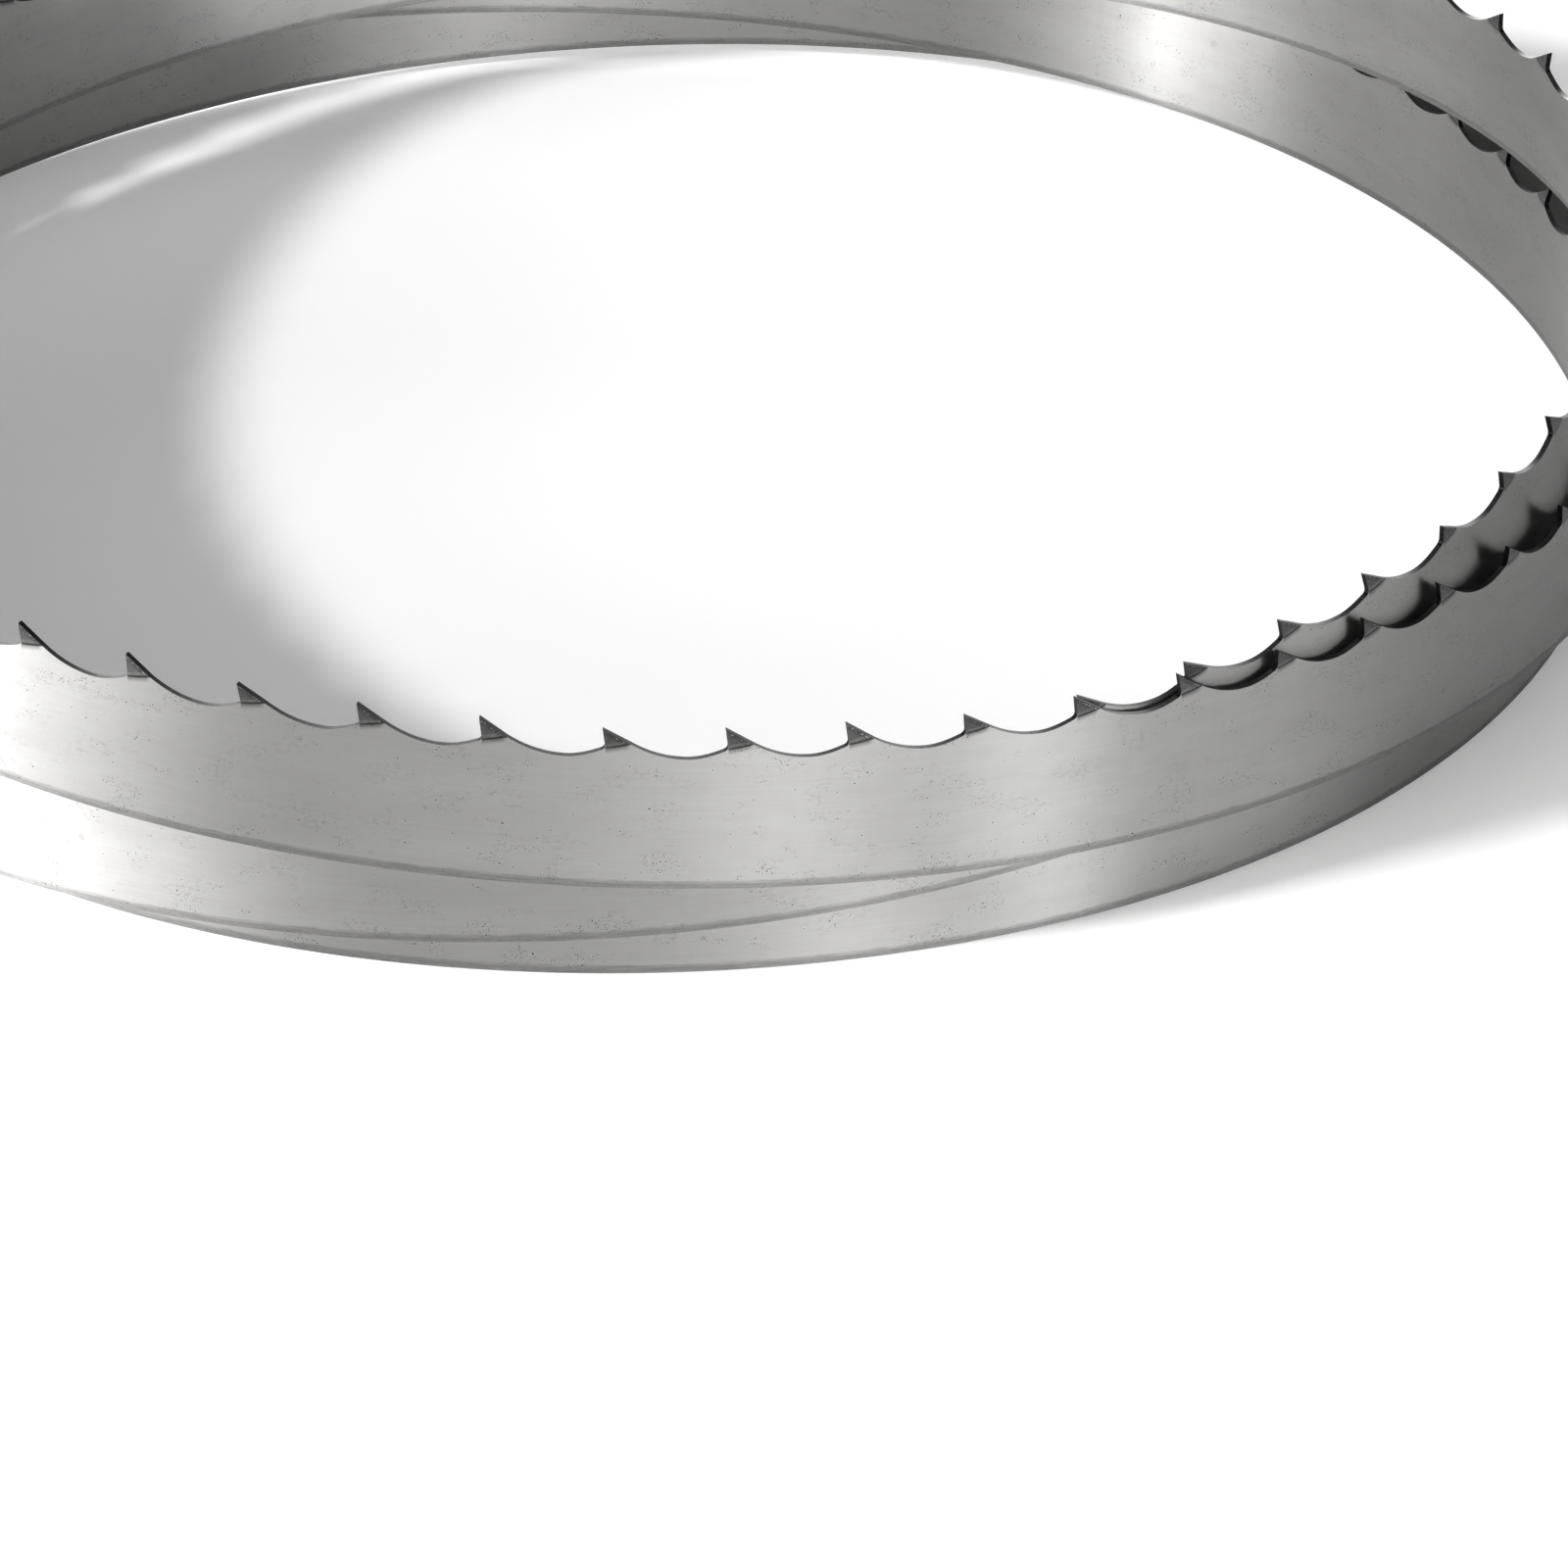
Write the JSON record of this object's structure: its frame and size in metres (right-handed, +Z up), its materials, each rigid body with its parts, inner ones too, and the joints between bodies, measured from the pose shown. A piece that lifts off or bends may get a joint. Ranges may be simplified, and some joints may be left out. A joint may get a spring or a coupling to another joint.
{
  "type": "band saw blade",
  "caption": "Endless steel band saw blade with raked, set teeth along one edge, folded into a coil that stands on its back edge with the teeth up.",
  "frame": {"origin": "middle of the coil's box, on the floor that the coil stands on", "axes": "+Z up through the coil, from the floor to the tooth tips; -Y towards the front, where the turns lie one above the other; +X to the right seen from the front"},
  "size_m": [0.4312, 0.4374, 0.0749],
  "materials": {
    "blade": "satin, brushed along the strip"
  },
  "bodies": {
    "root": {"blade": "blade"}
  },
  "joints": []
}
